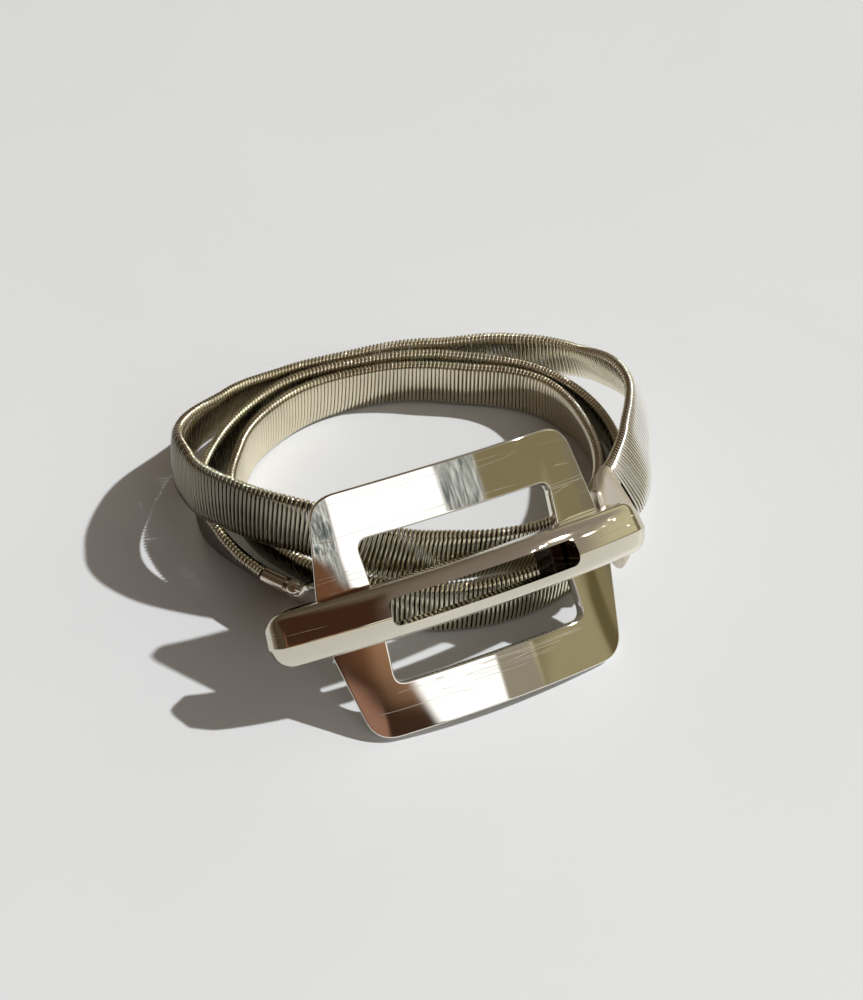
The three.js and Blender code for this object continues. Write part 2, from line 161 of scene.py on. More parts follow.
# The flared plates' rows: the share of the length, the width, the thickness and the drop.
RIGHT_CAP = (
    (0, 11.2, 2.6, 0), (0.25, 11.4, 2.6, 0), (0.5, 12.2, 2.6, 0.2), (0.75, 13.6, 2.6, 0.6),
    (0.92, 14.2, 2.6, 0.9), (1, 11.6, 1.8, -0.2),
)
TONGUE = (
    (0, 10.8, 2.6, 0), (0.2, 11.4, 2.6, 0), (0.4, 12.2, 2.2, 0), (0.6, 12.8, 1.7, 0),
    (0.8, 13.2, 1.5, 0), (1, 13.2, 1.5, 0),
)
RIGHT_CAP_ACROSS = 26.8
RIGHT_CAP_UP = 20.8
RIGHT_CAP_LIFT = -1.7
RIGHT_CAP_PULL = 4
FLARED_STEPS = 24

# A round end's rows: the depth and the size, as shares of its radius.
DOME = ((0, 0.1), (0.03, 0.4), (0.09, 0.65), (0.18, 0.85), (0.32, 0.97), (0.45, 1))
ROUND_SIDES = 28
KNUCKLE_TURN = 956
KNUCKLE_RADIUS = 1.3
KNUCKLE_LENGTH = 7.2
KNUCKLE_REACH = 1.7
NECK_OVERLAP = 0.5
PIN_RADIUS = 0.4
PIN_INSET = 0.2
EAR_WIDTH = 1.5
EAR_OVERLAP = 0.6
TONGUE_ACROSS = -17.5
TONGUE_UP = 20.2
TONGUE_PULL = 7

# The finishes: how rough each metal is, how deep its scratches look, how much rougher its smears,
# its scratches and the wire's dull patches are, and how high its bumps are.
WIRE_ROUGHNESS = 0.08
CAP_ROUGHNESS = 0.07
SATIN_ROUGHNESS = 0.32
FAINT_SCRATCHES = 0.2
DEEP_SCRATCHES = 0.3
SMEAR_ROUGHNESS = 0.03
SCRATCH_ROUGHNESS = 0.1
DULL_ROUGHNESS = 0.05
RIPPLE_HEIGHT = 2
GRAIN_HEIGHT = 0.03

# The hairline scratches: their direction, their spacing, and how few of them there are. Each family
# is drawn out along its lines, and is shifted by its direction so that no two look alike.
HAIRLINES = ((24, 0.8, 0.67), (-37, 1.0, 0.66), (81, 0.9, 0.67))
HAIRLINE_STRETCH = 0.045
HAIRLINE_SHIFT = 0.37
# Painted shade: the near-black of the hidden hook, which stands for the shade in the slot.
SLOT_SHADE_COLOUR = (0.04, 0.03, 0.025)

# The band's outer face gets a painted dark reflection near the first of these places and painted
# light near the second. The places and their reach are in metres.
DARK_PATCH_PLACE = (-0.040, -0.008, 0.012)
LIGHT_PATCH_PLACE = (0.042, 0.016, 0.010)
PATCH_REACH = 0.034
DARK_PATCH_SHARE = 0.75
# Painted shade darkens the wire towards this colour, in the gaps between turns and near the first
# place.
PAINTED_SHADE_COLOUR = (0.02, 0.015, 0.01)
PAINTED_LIGHT_COLOUR = (0.97, 0.96, 0.92)

# The camera stands in front and looks down; its lens gives the picture's tall frame.
CAMERA_PLACE = (3.1334, -183.319, 173.48)
CAMERA_TARGET = (3.1334, 9.3511, 0)
CAMERA_LENS = 50.4
CAMERA_NEAR = 10

TABLE_HALF = 1500
TABLE_ROUGHNESS = 0.45
KEY_LIGHT_WAY = (-0.94, -0.12, -1)
KEY_LIGHT_SPREAD = 1.5
KEY_LIGHT_COLOUR = (1.0, 0.985, 0.95)

# The room that the metal mirrors. Its left and right side, which blend about a split near the
# middle, are rows of a height and a colour. Their heights, the split and every softness are sines
# of angles. The other colours are those of the plain windows of light that lie over the two sides.
ROOM_SPLIT = 0.1
ROOM_BLEND = 0.3
LEFT_ROOM = (
    (0.0, (0.36, 0.33, 0.26)), (0.15, (0.20, 0.17, 0.12)), (0.35, (0.07, 0.05, 0.03)),
    (0.7, (0.10, 0.08, 0.055)), (1.0, (0.15, 0.12, 0.09)),
)
RIGHT_ROOM = (
    (0.0, (0.80, 0.76, 0.61)), (0.10, (0.62, 0.58, 0.45)), (0.15, (0.18, 0.16, 0.11)),
    (0.34, (0.26, 0.23, 0.14)), (0.39, (0.68, 0.63, 0.42)), (0.50, (0.62, 0.58, 0.40)),
    (0.60, (0.34, 0.30, 0.26)), (0.9, (0.24, 0.20, 0.175)),
)
DEEP_BROWN = (0.06, 0.025, 0.015)
DARK_BROWN = (0.05, 0.024, 0.014)
BROWN = (0.17, 0.075, 0.035)
TAN = (0.34, 0.19, 0.105)
ROSE_BROWN = (0.34, 0.18, 0.12)
CREAM = (0.75, 0.70, 0.55)
WHITE = (1.5, 1.5, 1.5)
SOFT_WHITE = (1.3, 1.3, 1.25)
WARM_GREY = (0.34, 0.30, 0.235)
OLIVE = (0.255, 0.215, 0.115)
PALE_OLIVE = (0.37, 0.325, 0.185)
DARK_OLIVE = (0.13, 0.105, 0.045)
PATTERN_DARK = (0.05, 0.08, 0.08)
PATTERN_LIGHT = (1.1, 1.1, 1.05)
WINDOW_SOFTNESS = 0.012
SLANTED_SIDE = (0.19, 0.52, 0.833)


# Meshes


def add_mesh(name, points, faces, flat_points=None, painted_shade_from=None):
    """Makes an object from points in millimetres and faces, its normals outwards and smooth.

    The flat points are the same points before they are turned and placed, for the material, which
    also gives painted shade, near-black, to the points from the last argument's index on.
    """
    mesh = bpy.data.meshes.new(name)
    mesh.from_pydata([Vector(p) * MM for p in points], [], faces)
    flat = mesh.attributes.new("flat_place", "FLOAT_VECTOR", "POINT")
    flat.data.foreach_set("vector", [c for p in (flat_points or points) for c in p])
    if painted_shade_from:
        painted_slot_shade = mesh.attributes.new("painted_slot_shade", "FLOAT", "POINT")
        painted_slot_shade.data.foreach_set("value", [float(i >= painted_shade_from) for i in range(len(points))])
    tidy = bmesh.new()
    tidy.from_mesh(mesh)
    bmesh.ops.remove_doubles(tidy, verts=tidy.verts, dist=MERGE_DISTANCE)
    bmesh.ops.recalc_face_normals(tidy, faces=tidy.faces)
    tidy.to_mesh(mesh)
    tidy.free()
    mesh.polygons.foreach_set("use_smooth", [True] * len(mesh.polygons))
    mesh.set_sharp_from_angle(angle=math.radians(SMOOTH_ANGLE))
    obj = bpy.data.objects.new(name, mesh)
    bpy.context.collection.objects.link(obj)
    return obj


def loft(rings, looped=False):
    """Points and faces of a skin over rings of points, its ends closed or joined in a loop."""
    count = len(rings[0])
    spans = len(rings) if looped else len(rings) - 1
    faces = []
    for span in range(spans):
        here, there = span * count, (span + 1) % len(rings) * count
        for side in range(count):
            following = (side + 1) % count
            faces.append((here + side, here + following, there + following, there + side))
    if not looped:
        faces.append(tuple(reversed(range(count))))
        faces.append(tuple(range(spans * count, spans * count + count)))
    return [p for ring in rings for p in ring], faces


def merge_parts(parts):
    """Puts several sets of points and faces in one."""
    points, faces = [], []
    for more_points, more_faces in parts:
        start = len(points)
        points += more_points
        faces += [tuple(start + i for i in face) for face in more_faces]
    return points, faces


def finish_piece(obj, replaced, material=None):
    """Gives a finished piece its material and the body that it rides on, and hides the part it
    replaces.
    """
    if material:
        obj.data.materials.append(material)
    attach(obj, BODY)
    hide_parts(replaced)
    return obj


# The band's route


def route_value(column, turn):
    """Reads a column of the route at any turn, on a smooth curve that never overshoots a row."""
    col = ROUTE_COLUMNS.index(column)
    last = len(ROUTE) - 1
    row = next((i for i in range(1, last + 1) if ROUTE[i][0] > turn), last)

    def rise(i):
        return (ROUTE[i][col] - ROUTE[i - 1][col]) / (ROUTE[i][0] - ROUTE[i - 1][0])

    def slope(i):
        if i == 0:
            return rise(1)
        if i == last:
            return rise(last)
        product = rise(i) * rise(i + 1)
        return 2 * product / (rise(i) + rise(i + 1)) if product > 0 else 0

    span = ROUTE[row][0] - ROUTE[row - 1][0]
    t = (turn - ROUTE[row - 1][0]) / span
    ease = t * t * (3 - 2 * t)
    bend = span * t * (1 - t) * (slope(row - 1) * (1 - t) - slope(row) * t)
    return ROUTE[row - 1][col] * (1 - ease) + ROUTE[row][col] * ease + bend


def route_point(turn):
    """The lower edge of the band at a turn."""
    angle, radius = math.radians(turn), route_value("radius", turn)
    return Vector((
        RING_CENTRE[0] + radius * math.cos(angle),
        RING_CENTRE[1] + radius * math.sin(angle),
        route_value("lift", turn),
    ))


def band_oval(width, thickness):
    """The eight corners of the band's flat oval section."""
    across, high = thickness / 2, width / 2
    rim, shoulder = across * OVAL_RIM, high - across * OVAL_SHOULDER
    upper = [(across, shoulder), (rim, high), (-rim, high), (-across, shoulder)]
    return upper + [(-x, -y) for x, y in upper]


def round_oval(width, thickness):
    """A stadium with round rims, as points of its outline."""
    radius = thickness / 2
    straight = width / 2 - radius
    outline = []
    for i in range(SECTION_SIDES):
        angle = 2 * math.pi * (i + 0.5) / SECTION_SIDES
        x, y = radius * math.cos(angle), radius * math.sin(angle)
        outline.append((x, y + math.copysign(straight, y)))
    return outline


class Place:
    """A place on the belt: its middle, its direction, up its width and out through its face."""

    def __init__(self, centre, along, up):
        self.centre = centre
        self.along = along.normalized()
        self.up = (up - self.along * up.dot(self.along)).normalized()
        self.side = self.along.cross(self.up)

    def moved(self, along=0, up=0):
        return Place(self.centre + self.along * along + self.up * up, self.along, self.up)

    def ring(self, outline):
        return [self.centre + self.side * x + self.up * y for x, y in outline]


def band_place(turn):
    """The place of the band at a turn, its section resting at the route's height."""
    foot = route_point(turn)
    along = route_point(turn + DIRECTION_STEP) - route_point(turn - DIRECTION_STEP)
    angle, lean = math.radians(turn), math.radians(route_value("lean", turn))
    up = Vector((math.cos(angle), math.sin(angle), 0)) * math.sin(lean)
    up.z = math.cos(lean)
    place = Place(foot, along, up)
    oval = band_oval(BAND_WIDTH, BAND_THICKNESS)
    lowest = min(x * place.side.z + y * place.up.z for x, y in oval)
    centre = foot + place.up * (BAND_WIDTH / 2)
    centre.z = foot.z - lowest
    return Place(centre, along, up)


def bezier(points, t):
    """A point and a tangent of a cubic curve."""
    a, b, c, d = points
    s = 1 - t
    point = a * s ** 3 + b * (3 * s * s * t) + c * (3 * s * t * t) + d * t ** 3
    tangent = (b - a) * (s * s) + (c - b) * (2 * s * t) + (d - c) * (t * t)
    return point, tangent


def place_between(start, end, start_pull, end_pull, share):
    """A place on the way from one place to another."""
    controls = (
        start.centre,
        start.centre + start.along * start_pull,
        end.centre - end.along * end_pull,
        end.centre,
    )
    point, tangent = bezier(controls, share)
    return Place(point, tangent, start.up.lerp(end.up, share))


# The buckle


def on_plate(across, up, lift):
    """A point of the bowed plate in the buckle's own frame; lift is the height over its front."""
    angle = across / PLATE_BEND
    radius = PLATE_BEND + lift
    return Vector((radius * math.sin(angle), PLATE_BEND - radius * math.cos(angle), up))


def rounded_outline(corners):
    """A closed polygon with round corners and divided sides; a corner is its x, y and cut."""
    outline = []
    count = len(corners)
    for i, (x, y, cut) in enumerate(corners):
        corner = Vector((x, y))
        before = Vector(corners[i - 1][:2])
        after_x, after_y, after_cut = corners[(i + 1) % count]
        after = Vector((after_x, after_y))
        enter = corner + (before - corner).normalized() * cut
        leave = corner + (after - corner).normalized() * cut
        for step in range(CORNER_STEPS + 1):
            t = step / CORNER_STEPS
            outline.append(enter * (1 - t) ** 2 + corner * (2 * t * (1 - t)) + leave * t ** 2)
        end = after + (corner - after).normalized() * after_cut
        for step in range(1, SIDE_STEPS[i]):
            outline.append(leave.lerp(end, step / SIDE_STEPS[i]))
    return outline


def barrel_outline(low, high, half_end, half_middle, corner_cut, middle_cut):
    """The outline with six sides that the plate and its opening share."""
    middle = (low + high) / 2
    return rounded_outline((
        (-half_end, low, corner_cut),
        (half_end, low, corner_cut),
        (half_middle, middle, middle_cut),
        (half_end, high, corner_cut),
        (-half_end, high, corner_cut),
        (-half_middle, middle, middle_cut),
    ))


def plate_shape():
    """Points and faces of the bowed frame plate, with rounded edges."""
    outer = barrel_outline(
        0, PLATE_HEIGHT, PLATE_HALF_END, PLATE_HALF_MIDDLE, PLATE_CORNER, PLATE_SHOULDER
    )
    inner = barrel_outline(
        OPENING_LOW, OPENING_HIGH, OPENING_HALF_END, OPENING_HALF_MIDDLE,
        OPENING_CORNER, OPENING_CORNER,
    )
    angles = [math.radians(step * 90 / EDGE_STEPS) for step in range(EDGE_STEPS + 1)]
    edge = [(EDGE_ROUNDING * (1 - math.cos(a)), EDGE_ROUNDING * (math.sin(a) - 1)) for a in angles]
    edge.append((EDGE_ROUNDING + EDGE_SUPPORT, 0))
    rings = []
    for rim, hole in zip(outer, inner):
        length = (hole - rim).length
        front = [(d / length, lift) for d, lift in edge]
        front += [(share, 0) for share in FACE_SHARES]
        front += [(1 - d / length, lift) for d, lift in reversed(edge)]
        back = [(share, -PLATE_THICKNESS - lift) for share, lift in reversed(front)]
        rings.append([on_plate(*rim.lerp(hole, share), lift) for share, lift in front + back])
    return loft(rings, looped=True)


def bar_columns(roundness, slot_half, slot_shift):
    """The columns of the bar's front at one station, from its lower edge up, as up and lift."""

    def swelled(size, tip_share):
        return size * (tip_share + (1 - tip_share) * roundness)

    half = swelled(BAR_HEIGHT / 2, BAR_TIP_HEIGHT)
    depth = swelled(BAR_DEPTH, BAR_TIP_DEPTH)
    flat = swelled(BAR_FLAT, BAR_TIP_FLAT)
    low, high = slot_shift - slot_half, slot_shift + slot_half
    ups = [-half + (low + half) * share for share in BESIDE_COLUMNS]
    ups += [low + (high - low) * share for share in SLOT_COLUMNS]
    ups += [half - (half - high) * share for share in reversed(BESIDE_COLUMNS)]
    columns = []
    for up in ups:
        edge = half if up > BAR_RIDGE_UP else -half
        off = (up - BAR_RIDGE_UP) / (edge - BAR_RIDGE_UP)
        facet = (depth - flat) * (1 - BAR_RIDGE * off)
        columns.append((up, flat + facet * math.sqrt(max(0, 1 - off ** BAR_EDGE_POWER))))
    return columns


def bar_stations():
    """The bar's stations: across, roundness, half the slot's height, and if the slot is open."""
    full = (SLOT_HIGH - SLOT_LOW) / 2
    least = full - SLOT_CORNER

    def arc(end, hand, size, angles):
        for angle in angles[::hand]:
            a = math.radians(angle)
            yield end + hand * size * (1 - math.cos(a)), math.sin(a)

    def nose(end, hand):
        return [(x, rise, least, False) for x, rise in arc(end, hand, BAR_NOSE, NOSE_ANGLES)]

    def corner(end, hand):
        places = arc(end, hand, SLOT_CORNER, SLOT_CORNER_ANGLES)
        return [(x, 1, least + SLOT_CORNER * rise, True) for x, rise in places]

    def straight(start, end, steps, half, slotted):
        places = [start + (end - start) * step / steps for step in range(steps + 1)]
        return [(x, 1, half, slotted) for x in places]

    return (
        nose(BAR_LEFT, 1)
        + straight(BAR_LEFT + BAR_NOSE, SLOT_LEFT, BAR_LEFT_STEPS, least, False)[:-1]
        + corner(SLOT_LEFT, 1)
        + straight(SLOT_LEFT + SLOT_CORNER, SLOT_RIGHT - SLOT_CORNER, SLOT_STEPS, full, True)[1:-1]
        + corner(SLOT_RIGHT, -1)
        + straight(SLOT_RIGHT, BAR_RIGHT - BAR_NOSE, BAR_RIGHT_STEPS, least, False)[1:]
        + nose(BAR_RIGHT, -1)
    )


def bar_shape():
    """Points and faces of the bar: two slanting facets in front, flat behind, and a long slot."""
    middle_up = BAR_LOW + BAR_HEIGHT / 2
    slot_shift = (SLOT_HIGH + SLOT_LOW) / 2 - middle_up
    stations = bar_stations()
    points, faces = [], []
    for across, roundness, slot_half, _ in stations:
        columns = bar_columns(roundness, slot_half, slot_shift)
        points += [on_plate(across, middle_up + up, PIECE_GAP + lift) for up, lift in columns]
        points += [on_plate(across, middle_up + up, PIECE_GAP) for up, _ in columns]
    width = len(columns)
    slot_low = len(BESIDE_COLUMNS)
    slot_high = slot_low + len(SLOT_COLUMNS) - 1

    def at(station, column, back):
        return station * 2 * width + back * width + column

    slotted = [station[3] for station in stations]
    last = len(stations) - 1
    for k in range(last):
        hollow = slotted[k] and slotted[k + 1]
        for j in range(width - 1):
            if hollow and slot_low <= j < slot_high:
                continue
            for back in (0, 1):
                here, there = at(k, j, back), at(k + 1, j, back)
                faces.append((here, there, there + 1, here + 1))
        for j in (0, width - 1) + ((slot_low, slot_high) if hollow else ()):
            faces.append((at(k, j, 0), at(k + 1, j, 0), at(k + 1, j, 1), at(k, j, 1)))
    slot_ends = (slotted.index(True), last - slotted[::-1].index(True))
    for k in (0, *slot_ends, last):
        for j in range(slot_low, slot_high) if k in slot_ends else range(width - 1):
            faces.append((at(k, j, 0), at(k, j + 1, 0), at(k, j + 1, 1), at(k, j, 1)))
    return points, faces


def catch_shape():
    """The hidden hook that holds the bar behind the frame's right leg."""
    heights = (CATCH_LOW, CATCH_HIGH)
    return loft([[on_plate(across, up, lift) for across, lift in CATCH_PROFILE] for up in heights])


def buckle_matrix():
    """The buckle's place: leaning back, turned, and resting on its lowest point."""
    turned = Matrix.Rotation(math.radians(BUCKLE_TURN), 4, "Z")
    turned = turned @ Matrix.Rotation(math.radians(-BUCKLE_LEAN), 4, "X")
    lowest = min((turned @ p).z for p in plate_shape()[0])
    return Matrix.Translation((*BUCKLE_PLACE, -lowest)) @ turned


def plate_place(matrix, across, up, lift, direction):
    """A place on the back of the bowed plate, running to the right (1) or to the left (-1)."""
    spot = on_plate(across, up, lift)
    along = matrix.to_3x3() @ (on_plate(across + direction, up, lift) - spot)
    return Place(matrix @ spot, along, matrix.to_3x3() @ Vector((0, 0, 1)))


# Materials


def node(tree, kind, settings=None, inputs=None):
    """Adds a node, sets its properties and its input values, and returns it."""
    made = tree.nodes.new(kind)
    for key, value in (settings or {}).items():
        setattr(made, key, value)
    for key, value in (inputs or {}).items():
        if isinstance(value, bpy.types.NodeSocket):
            tree.links.new(value, made.inputs[key])
        else:
            made.inputs[key].default_value = value
    return made


def live(sockets, name=None):
    """The socket in use, of those that a node keeps for its kinds of data."""
    return next(s for s in sockets if s.enabled and name in (None, s.name))


def new_material(name):
    """A material, its tree of nodes and its shader."""
    material = bpy.data.materials.new(name)
    material.use_nodes = True
    return material, material.node_tree, material.node_tree.nodes["Principled BSDF"]


def ramp(tree, value, stops):
    """A colour ramp read by a value; a stop is its position and its colour or its grey level."""
    made = node(tree, "ShaderNodeValToRGB", inputs={"Fac": value})
    elements = made.color_ramp.elements
    while len(elements) < len(stops):
        elements.new(0.5)
    for element, (position, colour) in zip(elements, stops):
        element.position = position
        element.color = (*colour, 1) if isinstance(colour, tuple) else (colour, colour, colour, 1)
    return made.outputs["Color"]


def maths(tree, operation, *values):
    """A maths node on values or sockets, and its result."""
    made = node(tree, "ShaderNodeMath", {"operation": operation}, dict(enumerate(values)))
    return made.outputs[0]


def vector_maths(tree, operation, *values):
    """A maths node on vectors or sockets, and its result, which is a vector or a value."""
    made = node(tree, "ShaderNodeVectorMath", {"operation": operation}, dict(enumerate(values)))
    return live(made.outputs)


def noise(tree, place, scale, detail, roughness=0.5, distortion=0.0):
    """The level of a noise at a place."""
    return node(tree, "ShaderNodeTexNoise", inputs={
        "Vector": place, "Scale": scale, "Detail": detail,
        "Roughness": roughness, "Distortion": distortion,
    }).outputs["Fac"]


def carried(tree, value, low, high, new_low=0.0, new_high=1.0):
    """A value carried from one range over to another."""
    return node(tree, "ShaderNodeMapRange", inputs={
        "Value": value, "From Min": low, "From Max": high, "To Min": new_low, "To Max": new_high,
    }).outputs["Result"]


def read_attribute(tree, name):
    """The outputs of a node that reads one of the mesh's attributes."""
    return node(tree, "ShaderNodeAttribute", {"attribute_name": name}).outputs


def bumped(tree, height, strength, distance, invert=False, normal=None):
    """A normal bent by a height, on top of another bent normal if there is one."""
    bump = node(tree, "ShaderNodeBump", {"invert": invert}, {
        "Strength": strength, "Distance": distance, "Height": height,
    })
    if normal:
        tree.links.new(normal, bump.inputs["Normal"])
    return bump.outputs["Normal"]


def mixed(tree, factor, below, above):
    """A mix of two colours, each a value or a socket."""
    mix = node(tree, "ShaderNodeMix", {"data_type": "RGBA"}, {"Factor": factor})
    for name, colour in (("A", below), ("B", above)):
        socket = live(mix.inputs, name)
        if isinstance(colour, bpy.types.NodeSocket):
            tree.links.new(colour, socket)
        else:
            socket.default_value = (*colour, 1)
    return live(mix.outputs)


def shaded(tree, value, colour, low, high, darkest):
    """A colour that darkens to a share of itself as a value falls from high to low."""
    return mixed(tree, carried(tree, value, low, high), [c * darkest for c in colour], colour)


def finish_metal(tree, shader, colour, roughness, normal):
    """Makes a shader a metal with its colour, roughness and normal."""
    shader.inputs["Metallic"].default_value = 1.0
    for name, socket in (("Base Color", colour), ("Roughness", roughness), ("Normal", normal)):
        tree.links.new(socket, shader.inputs[name])


def hairlines(tree, place, turn, spacing, sparse):
    """A mask of fine straight scratches across a flat place in millimetres, from 0 to 1."""
    mapped = node(tree, "ShaderNodeMapping", inputs={
        "Vector": place,
        "Location": (turn, turn * HAIRLINE_SHIFT, 0),
        "Rotation": (0, 0, math.radians(turn)),
        "Scale": (HAIRLINE_STRETCH, 1 / spacing, 0),
    }).outputs["Vector"]
    lines = noise(tree, mapped, scale=1.0, detail=1.0)
    line = ramp(tree, lines, ((0.493, 0), (0.5, 1), (0.507, 0)))
    places = noise(tree, mapped, scale=0.45, detail=0.0)
    return maths(tree, "MULTIPLY", line, ramp(tree, places, ((sparse, 0), (sparse + 0.06, 1))))


def polished_metal(name, colour, roughness, scratch_depth):
    """Polished metal with sparse hairline scratches, faint smears and a slight ripple,
    and near-black painted shade where points are marked for it.
    """
    material, tree, shader = new_material(name)
    place = read_attribute(tree, "flat_place")["Vector"]
    # The flat place has its width in x and its height in z; the scratches lie in that plane.
    upright = node(tree, "ShaderNodeMapping", inputs={
        "Vector": place, "Rotation": (math.radians(-90), 0, 0),
    }).outputs["Vector"]
    scratches = 0.0
    for turn, spacing, sparse in HAIRLINES:
        lines = hairlines(tree, upright, turn, spacing, sparse)
        scratches = maths(tree, "MAXIMUM", scratches, lines)
    smears = noise(tree, place, scale=0.09, detail=3.0, distortion=0.4)
    smooth = carried(tree, smears, 0.4, 0.7, roughness, roughness + SMEAR_ROUGHNESS)
    rough = maths(tree, "MULTIPLY_ADD", scratches, SCRATCH_ROUGHNESS, smooth)
    plain = shaded(tree, smears, colour, low=0.3, high=0.8, darkest=0.96)
    # Painted shade: the marked points turn near-black.
    tint = mixed(tree, read_attribute(tree, "painted_slot_shade")["Fac"], plain, SLOT_SHADE_COLOUR)
    swell = noise(tree, place, scale=0.06, detail=1.0)
    ripple = bumped(tree, swell, strength=0.05, distance=RIPPLE_HEIGHT * MM)
    cut = bumped(tree, scratches, scratch_depth, GRAIN_HEIGHT * MM, invert=True, normal=ripple)
    finish_metal(tree, shader, tint, rough, cut)
    return material


def wire_metal(name, colour, roughness):
    """Bright spring wire with dull patches, painted shade in the gaps between its turns,
    a painted dark reflection and a painted light patch.
    """
    material, tree, shader = new_material(name)
    place = node(tree, "ShaderNodeTexCoord").outputs["Object"]
    broad = noise(tree, place, scale=90.0, detail=4.0, distortion=0.4)
    outward = read_attribute(tree, "outward")["Fac"]
    outer_face = ramp(tree, outward, ((0.1, 0), (0.6, 1)))

    def near(spot):
        away = vector_maths(tree, "DISTANCE", place, spot)
        patch = ramp(tree, away, ((PATCH_REACH / 2, 1), (PATCH_REACH, 0)))
        return maths(tree, "MULTIPLY", patch, outer_face)

    # Painted shade in the gaps between turns: dark on the band's outer face, lighter towards its
    # inner face and at the back of the ring. A ramp ends at 1, so the place from front to back is
    # read in decimetres.
    painted_gap_shade = ramp(tree, read_attribute(tree, "gap")["Fac"], ((0.55, 0), (0.9, 0.97)))
    from_inside = maths(tree, "MULTIPLY_ADD", outward, 0.5, 0.5)
    painted_gap_shade = maths(tree, "MULTIPLY", painted_gap_shade, ramp(tree, from_inside, ((0.1, 0.15), (0.5, 1))))
    depth = node(tree, "ShaderNodeSeparateXYZ", inputs={0: place}).outputs["Y"]
    less_shade_behind = ramp(tree, maths(tree, "MULTIPLY", depth, 10), ((0.12, 1), (0.3, 0.2)))
    # A painted dark reflection near the first place, joined to the painted shade in the gaps.
    painted_dark_patch = maths(tree, "MULTIPLY", near(DARK_PATCH_PLACE), DARK_PATCH_SHARE)
    painted_shade = maths(tree, "MAXIMUM", painted_dark_patch, maths(tree, "MULTIPLY", painted_gap_shade, less_shade_behind))
    plain = shaded(tree, broad, colour, low=0.3, high=0.75, darkest=0.84)
    # Painted light pales the outer face near the second place; painted shade then darkens the gaps
    # and the first place.
    tint = mixed(tree, painted_shade, mixed(tree, near(LIGHT_PATCH_PLACE), plain, PAINTED_LIGHT_COLOUR), PAINTED_SHADE_COLOUR)
    rough = carried(tree, broad, 0.35, 0.7, roughness, roughness + DULL_ROUGHNESS)
    fine = noise(tree, place, scale=900.0, detail=2.0)
    grain = bumped(tree, fine, strength=0.08, distance=GRAIN_HEIGHT * MM)
    finish_metal(tree, shader, tint, rough, grain)
    return material


def table_top(name, colour):
    """A smooth pale table top with faint streaks."""
    material, tree, shader = new_material(name)
    place = node(tree, "ShaderNodeTexCoord").outputs["Object"]
    streaks = noise(tree, place, scale=9.0, detail=4.0, distortion=1.2)
    tint = shaded(tree, streaks, colour, low=0.3, high=0.7, darkest=0.97)
    tree.links.new(tint, shader.inputs["Base Color"])
    shader.inputs["Roughness"].default_value = TABLE_ROUGHNESS
    return material


# The coil's node tree


